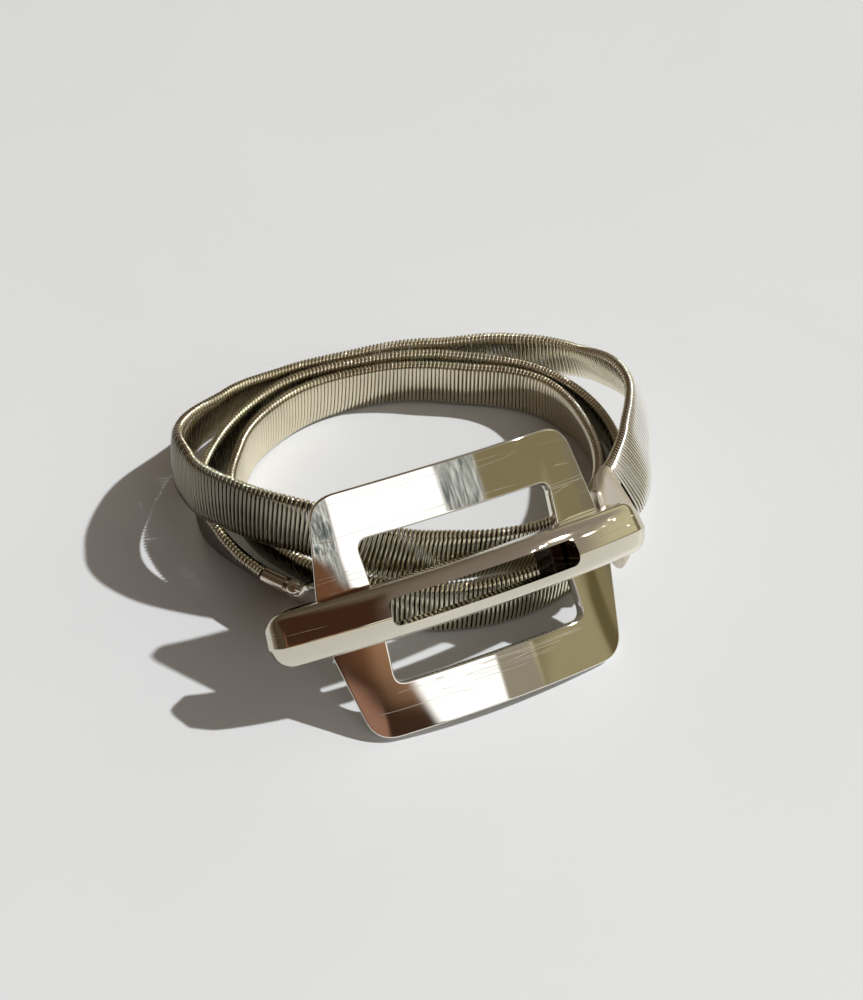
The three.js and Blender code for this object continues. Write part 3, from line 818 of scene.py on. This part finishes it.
def coil_tree():
    """A helix of wire round a flat oval, wound along a route that holds its own up and side."""
    tree = bpy.data.node_groups.new("wire_coil", "GeometryNodeTree")
    tree.is_modifier = True
    face = tree.interface
    face.new_socket("Route", in_out="INPUT", socket_type="NodeSocketGeometry")
    for label, kind, value in (
        ("Turns", "NodeSocketInt", 780),
        ("Points per turn", "NodeSocketInt", 16),
        ("Half width", "NodeSocketFloat", 0.0052),
        ("Half thickness", "NodeSocketFloat", 0.0009),
        ("Rim squareness", "NodeSocketFloat", 0.7),
        ("Face fullness", "NodeSocketFloat", 0.85),
        ("Wire radius", "NodeSocketFloat", 0.00036),
        ("Wire sides", "NodeSocketInt", 8),
    ):
        face.new_socket(label, in_out="INPUT", socket_type=kind).default_value = value
    face.new_socket("Material", in_out="INPUT", socket_type="NodeSocketMaterial")
    face.new_socket("Coil", in_out="OUTPUT", socket_type="NodeSocketGeometry")
    given = node(tree, "NodeGroupInput").outputs

    steps = maths(tree, "MULTIPLY", given["Turns"], given["Points per turn"])
    count = maths(tree, "ADD", steps, 1.0)
    index = node(tree, "GeometryNodeInputIndex").outputs[0]
    share = maths(tree, "DIVIDE", index, steps)
    turns = maths(tree, "DIVIDE", maths(tree, "ADD", index, 0.5), given["Points per turn"])
    angle = maths(tree, "MULTIPLY", turns, 2 * math.pi)

    def rounded(wave, power, size):
        value = maths(tree, wave, angle)
        shaped = maths(tree, "POWER", maths(tree, "ABSOLUTE", value), power)
        signed = maths(tree, "MULTIPLY", maths(tree, "SIGN", value), shaped)
        return maths(tree, "MULTIPLY", signed, size)

    across = rounded("COSINE", given["Rim squareness"], given["Half thickness"])
    high = rounded("SINE", given["Face fullness"], given["Half width"])

    def named(attribute):
        kind = {"data_type": "FLOAT_VECTOR"}
        made = node(tree, "GeometryNodeInputNamedAttribute", kind, {"Name": attribute})
        return made.outputs["Attribute"]

    route = node(tree, "GeometryNodeMeshToCurve", inputs={0: given["Route"]}).outputs[0]

    def sampled(attribute):
        kind = {"mode": "FACTOR", "data_type": "FLOAT_VECTOR"}
        sample = node(tree, "GeometryNodeSampleCurve", kind, {"Curves": route, "Factor": share})
        tree.links.new(named(attribute), live(sample.inputs, "Value"))
        return live(sample.outputs, "Value"), sample.outputs["Position"]

    up, centre = sampled("band_up")
    side, _ = sampled("band_side")

    def scaled(vector, size):
        kind = {"operation": "SCALE"}
        return node(tree, "ShaderNodeVectorMath", kind, {0: vector, "Scale": size}).outputs[0]

    offset = vector_maths(tree, "ADD", scaled(side, across), scaled(up, high))
    position = vector_maths(tree, "ADD", centre, offset)
    line = node(tree, "GeometryNodeMeshLine", inputs={"Count": count})
    bent = node(tree, "GeometryNodeSetPosition", inputs={
        "Geometry": line.outputs[0], "Position": position,
    })

    def stored(geometry, name, kind, value):
        settings = {"data_type": kind, "domain": "POINT"}
        inputs = {"Geometry": geometry, "Name": name}
        store = node(tree, "GeometryNodeStoreNamedAttribute", settings, inputs)
        tree.links.new(value, live(store.inputs, "Value"))
        return store.outputs[0]

    # Where the wire's surface faces along the band, it is in the gap between two turns, where the
    # material paints shade.
    along = vector_maths(tree, "CROSS_PRODUCT", up, side)
    outward = maths(tree, "DIVIDE", across, given["Half thickness"])
    marked = stored(bent.outputs[0], "band_along", "FLOAT_VECTOR", along)
    marked = stored(marked, "outward", "FLOAT", outward)
    wire = node(tree, "GeometryNodeMeshToCurve", inputs={0: marked})
    profile = node(tree, "GeometryNodeCurvePrimitiveCircle", inputs={
        "Resolution": given["Wire sides"], "Radius": given["Wire radius"],
    })
    solid = node(tree, "GeometryNodeCurveToMesh", inputs={
        "Curve": wire.outputs[0], "Profile Curve": profile.outputs[0], "Fill Caps": True,
    })
    normal = node(tree, "GeometryNodeInputNormal").outputs[0]
    facing = vector_maths(tree, "DOT_PRODUCT", normal, named("band_along"))
    lined = stored(solid.outputs[0], "gap", "FLOAT", maths(tree, "ABSOLUTE", facing))
    smooth = node(tree, "GeometryNodeSetShadeSmooth", inputs={
        "Geometry": lined, "Shade Smooth": True,
    })
    real = node(tree, "GeometryNodeRealizeInstances", inputs={"Geometry": smooth.outputs[0]})
    painted = node(tree, "GeometryNodeSetMaterial", inputs={
        "Geometry": real.outputs[0], "Material": given["Material"],
    })
    node(tree, "NodeGroupOutput", inputs={0: painted.outputs[0]})
    return tree


def route_mesh():
    """The route as a chain of points that hold the band's up and side directions."""
    steps = (LAST_TURN - FIRST_TURN) // ROUTE_STEP
    places = [band_place(FIRST_TURN + i * ROUTE_STEP) for i in range(steps + 1)]
    mesh = bpy.data.meshes.new("band_route")
    mesh.from_pydata([p.centre * MM for p in places], [(i, i + 1) for i in range(steps)], [])
    for name in ("up", "side"):
        attribute = mesh.attributes.new("band_" + name, "FLOAT_VECTOR", "POINT")
        attribute.data.foreach_set("vector", [c for place in places for c in getattr(place, name)])
    length = sum((places[i + 1].centre - places[i].centre).length for i in range(steps))
    return mesh, length


# Settings and operators


class CoilSettings(bpy.types.PropertyGroup):
    """The wire coil's sizes and colour."""

    wire_diameter: bpy.props.FloatProperty(
        name="Wire diameter", description="Thickness of the coil's wire",
        default=0.72 * MM, unit="LENGTH",
    )
    pitch: bpy.props.FloatProperty(
        name="Pitch", description="Distance from one turn of wire to the next",
        default=0.775 * MM, unit="LENGTH",
    )
    width: bpy.props.FloatProperty(
        name="Band width", description="Height of the band's upright section",
        default=BAND_WIDTH * MM, unit="LENGTH",
    )
    thickness: bpy.props.FloatProperty(
        name="Band thickness", description="Thickness of the flattened coil",
        default=BAND_THICKNESS * MM, unit="LENGTH",
    )
    colour: bpy.props.FloatVectorProperty(
        name="Wire colour", description="Colour of the wire's metal",
        default=(0.79, 0.73, 0.57), subtype="COLOR",
    )


class BuckleSettings(bpy.types.PropertyGroup):
    """The colours of the polished pieces, and their polish."""

    chrome: bpy.props.FloatVectorProperty(
        name="Chrome", description="Colour of the frame plate and of the hinge tongue",
        default=(0.80, 0.775, 0.72), subtype="COLOR",
    )
    bar: bpy.props.FloatVectorProperty(
        name="Bar", description="Colour of the slotted bar",
        default=(0.74, 0.70, 0.60), subtype="COLOR",
    )
    cap: bpy.props.FloatVectorProperty(
        name="Caps", description="Colour of the band's two end caps",
        default=(0.66, 0.60, 0.52), subtype="COLOR",
    )
    roughness: bpy.props.FloatProperty(
        name="Roughness", description="Roughness of the plate's, the tongue's and the bar's polish",
        default=0.03, min=0.0, max=1.0, subtype="FACTOR",
    )


class StageSettings(bpy.types.PropertyGroup):
    """The table top and the light."""

    table: bpy.props.FloatVectorProperty(
        name="Table", description="Colour of the table top",
        default=(0.80, 0.836, 0.885), subtype="COLOR",
    )
    sun: bpy.props.FloatProperty(
        name="Key light", description="Strength of the key light", default=3.1, min=0.0,
    )
    sky: bpy.props.FloatProperty(
        name="Fill light", description="Strength of the soft light all round", default=1.0, min=0.0,
    )


class BELT_OT_stage(bpy.types.Operator):
    """Lays the table top, and sets up the soft light and the camera"""

    bl_idname = "belt.stage"
    bl_label = "Stage"

    def execute(self, context):
        settings = context.scene.belt_stage
        corners = ((-1, -1), (1, -1), (1, 1), (-1, 1))
        points = [(x * TABLE_HALF, y * TABLE_HALF, 0) for x, y in corners]
        floor = add_mesh("table_top", points, [(0, 1, 2, 3)])
        floor.data.materials.append(table_top("table_top", settings.table))
        add_camera(context)
        add_key_light(settings.sun)
        add_sky(context, settings.sky)
        context.scene.view_settings.view_transform = "Standard"
        return {"FINISHED"}


def add_camera(context):
    """The camera at the height and the distance from which the belt is seen."""
    camera = bpy.data.objects.new("camera", bpy.data.cameras.new("camera"))
    camera.data.lens = CAMERA_LENS
    camera.data.clip_start = CAMERA_NEAR * MM
    camera.location = Vector(CAMERA_PLACE) * MM
    view = Vector(CAMERA_TARGET) - Vector(CAMERA_PLACE)
    camera.rotation_euler = view.to_track_quat("-Z", "Y").to_euler()
    context.collection.objects.link(camera)
    context.scene.camera = camera


def add_key_light(strength):
    """A soft-edged key light, high on the right and a little behind."""
    lamp = bpy.data.objects.new("key_light", bpy.data.lights.new("key_light", "SUN"))
    lamp.data.energy = strength
    lamp.data.angle = math.radians(KEY_LIGHT_SPREAD)
    lamp.data.color = KEY_LIGHT_COLOUR
    lamp.rotation_euler = Vector(KEY_LIGHT_WAY).to_track_quat("-Z", "Y").to_euler()
    bpy.context.collection.objects.link(lamp)


class Sky:
    """Layers of light on the sphere round the belt, each inside great or level circles.

    Directions are azimuths from +X towards +Y, and heights over the horizon, both in degrees.
    """

    def __init__(self, tree):
        self.tree = tree
        self.direction = node(tree, "ShaderNodeTexCoord").outputs["Generated"]
        height = node(tree, "ShaderNodeSeparateXYZ", inputs={0: self.direction}).outputs["Z"]
        left, right = ramp(tree, height, LEFT_ROOM), ramp(tree, height, RIGHT_ROOM)
        self.light = mixed(tree, self.side((1, 0, 0), ROOM_SPLIT, ROOM_BLEND), left, right)

    def side(self, axis, level=0.0, soft=WINDOW_SOFTNESS):
        """A mask of the directions that lie on an axis's side of a circle round it."""
        dot = vector_maths(self.tree, "DOT_PRODUCT", self.direction, axis)
        return node(self.tree, "ShaderNodeMapRange", {"interpolation_type": "SMOOTHSTEP"}, {
            "Value": dot, "From Min": level - soft, "From Max": level + soft,
        }).outputs["Result"]

    def lay(self, colour, left, right, low, high, soft=WINDOW_SOFTNESS, within=None):
        """Lays a window of a colour, between two azimuths and two heights, over the light."""
        a, b = math.radians(left), math.radians(right)
        masks = [
            self.side((-math.sin(a), math.cos(a), 0), soft=soft),
            self.side((math.sin(b), -math.cos(b), 0), soft=soft),
            self.side((0, 0, 1), math.sin(math.radians(low)), soft),
            self.side((0, 0, -1), -math.sin(math.radians(high)), soft),
        ]
        if within:
            masks.append(self.side(within))
        window = masks[0]
        for mask in masks[1:]:
            window = maths(self.tree, "MULTIPLY", window, mask)
        self.light = mixed(self.tree, window, self.light, colour)


def add_sky(context, strength):
    """The room round the belt: brown on the front's left, then white, and olive on its right."""
    world = bpy.data.worlds.new("studio")
    world.use_nodes = True
    tree = world.node_tree
    sky = Sky(tree)
    # A window is its colour, its two azimuths, its two heights, and its softness if not the usual.
    sky.lay(DEEP_BROWN, -180, -80, 40, 75, 0.06)
    sky.lay(CREAM, -110, -35, -5, 13, 0.03)
    sky.lay(TAN, -130, -60, 13, 44, 0.02)
    sky.lay(BROWN, -130, -81, 13, 44, 0.05)
    sky.lay(DARK_BROWN, -130, -64, 10, 26.7, 0.016)
    sky.lay(ROSE_BROWN, -89, -81, 10, 25.6)
    sky.lay(WHITE, -82.5, -45, 14, 43, within=SLANTED_SIDE)
    sky.lay(WHITE, -64, -45, 14, 43)
    sky.lay(SOFT_WHITE, -98, -90.5, 29.6, 32.3, 0.006)
    sky.lay(WARM_GREY, -45, -34, 15, 37)
    specks = noise(tree, sky.direction, scale=110.0, detail=5.0, roughness=0.8, distortion=0.8)
    pattern = ramp(tree, specks, ((0.48, PATTERN_DARK), (0.56, PATTERN_LIGHT)))
    sky.lay(pattern, -46, -31, 28.4, 37)
    sky.lay(pattern, -90.5, -82.5, 30.2, 38, 0.006)
    sky.lay(OLIVE, -33, -6, 4, 33)
    sky.lay(PALE_OLIVE, -33, -13, 4, 20.5, 0.02)
    sky.lay(DARK_OLIVE, -12.5, -9, 8, 14.5, 0.01)
    back = tree.nodes["Background"]
    tree.links.new(sky.light, back.inputs["Color"])
    back.inputs["Strength"].default_value = strength
    context.scene.world = world


class BELT_OT_coil(bpy.types.Operator):
    """Winds the band's wire coil along its route"""

    bl_idname = "belt.coil"
    bl_label = "Wire coil"

    def execute(self, context):
        settings = context.scene.belt_coil
        mesh, length = route_mesh()
        route = bpy.data.objects.new("band_route", mesh)
        context.collection.objects.link(route)
        radius = settings.wire_diameter / 2
        values = {
            "Turns": round(length * MM / settings.pitch),
            "Half width": settings.width / 2 - radius,
            "Half thickness": settings.thickness / 2 - radius,
            "Wire radius": radius,
            "Material": wire_metal("spring_wire", settings.colour, WIRE_ROUGHNESS),
        }
        modifier = route.modifiers.new("winding", "NODES")
        tree = coil_tree()
        modifier.node_group = tree
        for item in tree.interface.items_tree:
            if item.item_type == "SOCKET" and item.in_out == "INPUT" and item.name in values:
                modifier[item.identifier] = values[item.name]
        evaluated = route.evaluated_get(context.evaluated_depsgraph_get())
        wound = bpy.data.meshes.new_from_object(evaluated)
        wound.name = "coil_turns"
        bpy.data.objects.remove(route)
        coil = bpy.data.objects.new("coil_turns", wound)
        context.collection.objects.link(coil)
        if len(wound.polygons) < values["Turns"]:
            raise RuntimeError("the coil came out without its turns")
        finish_piece(coil, "coil_band")
        print("coil", values["Turns"], "turns,", round(length), "mm,", len(wound.polygons), "faces")
        return {"FINISHED"}


class BELT_OT_caps(bpy.types.Operator):
    """Makes the metal caps crimped on the band's two ends"""

    bl_idname = "belt.caps"
    bl_label = "End caps"

    def execute(self, context):
        settings = context.scene.belt_buckle
        end = band_place(FIRST_TURN)
        mouth = Place(end.centre - end.along * PIECE_GAP, -end.along, end.up)
        wide = plate_place(buckle_matrix(), RIGHT_CAP_ACROSS, RIGHT_CAP_UP, RIGHT_CAP_LIFT, -1)
        # A third of the reach is the pull that lets a cubic curve leave its start evenly.
        mouth_pull = (wide.centre - mouth.centre).length / 3
        rings = flared_rings(mouth, wide, mouth_pull, RIGHT_CAP_PULL, RIGHT_CAP)
        right = add_mesh("cap_right", *loft(rings))
        satin = polished_metal("cap_satin", settings.cap, SATIN_ROUGHNESS, FAINT_SCRATCHES)
        finish_piece(right, "end_cap_right", satin)

        mouth = band_place(LAST_TURN).moved(PIECE_GAP)
        halfway = band_place((LAST_TURN + KNUCKLE_TURN) / 2)
        axis = band_place(KNUCKLE_TURN)
        neck = axis.moved(-KNUCKLE_REACH)
        section = round_oval(BAND_WIDTH, BAND_THICKNESS)
        narrow = round_oval(KNUCKLE_LENGTH, BAND_THICKNESS)
        left = add_mesh("cap_left", *merge_parts([
            loft([spot.ring(section) for spot in (mouth, halfway, neck)]),
            loft([spot.ring(narrow) for spot in (neck.moved(-NECK_OVERLAP), axis)]),
            round_bar(axis, KNUCKLE_RADIUS, -KNUCKLE_LENGTH / 2, KNUCKLE_LENGTH / 2),
        ]))
        metal = polished_metal("cap_metal", settings.cap, CAP_ROUGHNESS, FAINT_SCRATCHES)
        finish_piece(left, "end_cap_left", metal)
        return {"FINISHED"}


def flared_size(rows, share):
    """The width, thickness and drop of a flared plate at a share of its length."""
    above = next(i for i in range(1, len(rows)) if share <= rows[i][0])
    low, high = rows[above - 1], rows[above]
    t = (share - low[0]) / (high[0] - low[0])
    return [a + (b - a) * t for a, b in zip(low[1:], high[1:])]


def flared_rings(start, end, start_pull, end_pull, rows):
    """The rings of a plate that changes its width and thickness on its way."""
    rings = []
    for step in range(FLARED_STEPS + 1):
        share = step / FLARED_STEPS
        width, thickness, drop = flared_size(rows, share)
        spot = place_between(start, end, start_pull, end_pull, share)
        rings.append(spot.moved(0, -drop).ring(round_oval(width, thickness)))
    return rings


def round_bar(place, radius, low, high):
    """A round bar along a place's width, with its ends domed."""
    dome = [(radius * depth, radius * size) for depth, size in DOME]
    angles = [2 * math.pi * i / ROUND_SIDES for i in range(ROUND_SIDES)]
    rings = []
    ends = [(low + d, size) for d, size in dome] + [(high - d, size) for d, size in reversed(dome)]
    for up, size in ends:
        centre = place.centre + place.up * up
        rings.append([
            centre + place.side * (size * math.cos(a)) + place.along * (size * math.sin(a))
            for a in angles
        ])
    return loft(rings)


class BELT_OT_tongue(bpy.types.Operator):
    """Makes the hinge tongue between the left cap and the frame"""

    bl_idname = "belt.tongue"
    bl_label = "Hinge tongue"

    def execute(self, context):
        settings = context.scene.belt_buckle
        axis = band_place(KNUCKLE_TURN)
        root = axis.moved(KNUCKLE_REACH)
        thickness = TONGUE[-1][2]
        lift = -PLATE_THICKNESS - PIECE_GAP - thickness / 2
        tip = plate_place(buckle_matrix(), TONGUE_ACROSS, TONGUE_UP, lift, 1)
        parts = [loft(flared_rings(root, tip, TONGUE_PULL, TONGUE_PULL, TONGUE))]
        inner = KNUCKLE_LENGTH / 2 + PIECE_GAP
        outer = inner + EAR_WIDTH
        for hand in (1, -1):
            low, high = sorted((inner * hand, outer * hand))
            middle = axis.moved(0, (low + high) / 2)
            ends = (middle, middle.moved(KNUCKLE_REACH + EAR_OVERLAP))
            arm = loft([spot.ring(round_oval(EAR_WIDTH, thickness)) for spot in ends])
            parts += [round_bar(axis, KNUCKLE_RADIUS, low, high), arm]
        parts.append(round_bar(axis, PIN_RADIUS, PIN_INSET - outer, outer - PIN_INSET))
        tongue = add_mesh("hinge_plate", *merge_parts(parts))
        polish = settings.roughness
        metal = polished_metal("tongue_chrome", settings.chrome, polish, FAINT_SCRATCHES)
        finish_piece(tongue, "hinge_tongue", metal)
        return {"FINISHED"}


class BELT_OT_plate(bpy.types.Operator):
    """Makes the buckle's bowed frame plate"""

    bl_idname = "belt.plate"
    bl_label = "Frame plate"

    def execute(self, context):
        settings = context.scene.belt_buckle
        points, faces = plate_shape()
        matrix = buckle_matrix()
        plate = add_mesh("frame_polished", [matrix @ p for p in points], faces, points)
        metal = polished_metal("frame_chrome", settings.chrome, settings.roughness, DEEP_SCRATCHES)
        finish_piece(plate, "frame_plate", metal)
        return {"FINISHED"}


class BELT_OT_bar(bpy.types.Operator):
    """Makes the slotted bar that lies across the frame"""

    bl_idname = "belt.bar"
    bl_label = "Slotted bar"

    def execute(self, context):
        settings = context.scene.belt_buckle
        matrix = buckle_matrix()
        body = bar_shape()
        points, faces = merge_parts([body, catch_shape()])
        # The hook's points follow the bar's own and are painted near-black: painted shade in the
        # slot.
        bar = add_mesh("bar_polished", [matrix @ p for p in points], faces, points, len(body[0]))
        edges = bar.modifiers.new("soft_edges", "BEVEL")
        edges.width = BAR_BEVEL * MM
        edges.segments = BAR_BEVEL_STEPS
        edges.limit_method = "ANGLE"
        edges.angle_limit = math.radians(BAR_BEVEL_ANGLE)
        edges.harden_normals = True
        metal = polished_metal("bar_chrome", settings.bar, settings.roughness, DEEP_SCRATCHES)
        finish_piece(bar, "slotted_bar", metal)
        return {"FINISHED"}


STEPS = ("stage", "coil", "caps", "tongue", "plate", "bar")


class BELT_PT_panel(bpy.types.Panel):
    """Lists the belt's settings and the steps that build it"""

    bl_idname = "BELT_PT_panel"
    bl_label = "Coil belt"
    bl_space_type = "VIEW_3D"
    bl_region_type = "UI"
    bl_category = "Coil belt"

    def draw(self, context):
        for group in (context.scene.belt_stage, context.scene.belt_coil, context.scene.belt_buckle):
            box = self.layout.box()
            for name in group.bl_rna.properties.keys():
                if name not in ("rna_type", "name"):
                    box.prop(group, name)
        for step in STEPS:
            self.layout.operator("belt." + step)


CLASSES = (
    CoilSettings, BuckleSettings, StageSettings,
    BELT_OT_stage, BELT_OT_coil, BELT_OT_caps, BELT_OT_tongue, BELT_OT_plate, BELT_OT_bar,
    BELT_PT_panel,
)


def register():
    for cls in CLASSES:
        bpy.utils.register_class(cls)
    bpy.types.Scene.belt_coil = bpy.props.PointerProperty(type=CoilSettings)
    bpy.types.Scene.belt_buckle = bpy.props.PointerProperty(type=BuckleSettings)
    bpy.types.Scene.belt_stage = bpy.props.PointerProperty(type=StageSettings)


def unregister():
    del bpy.types.Scene.belt_stage
    del bpy.types.Scene.belt_buckle
    del bpy.types.Scene.belt_coil
    for cls in reversed(CLASSES):
        bpy.utils.unregister_class(cls)


def main():
    """Registers the add-on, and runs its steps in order."""
    register()
    for step in STEPS:
        getattr(bpy.ops.belt, step)()


if __name__ == "__main__":
    main()
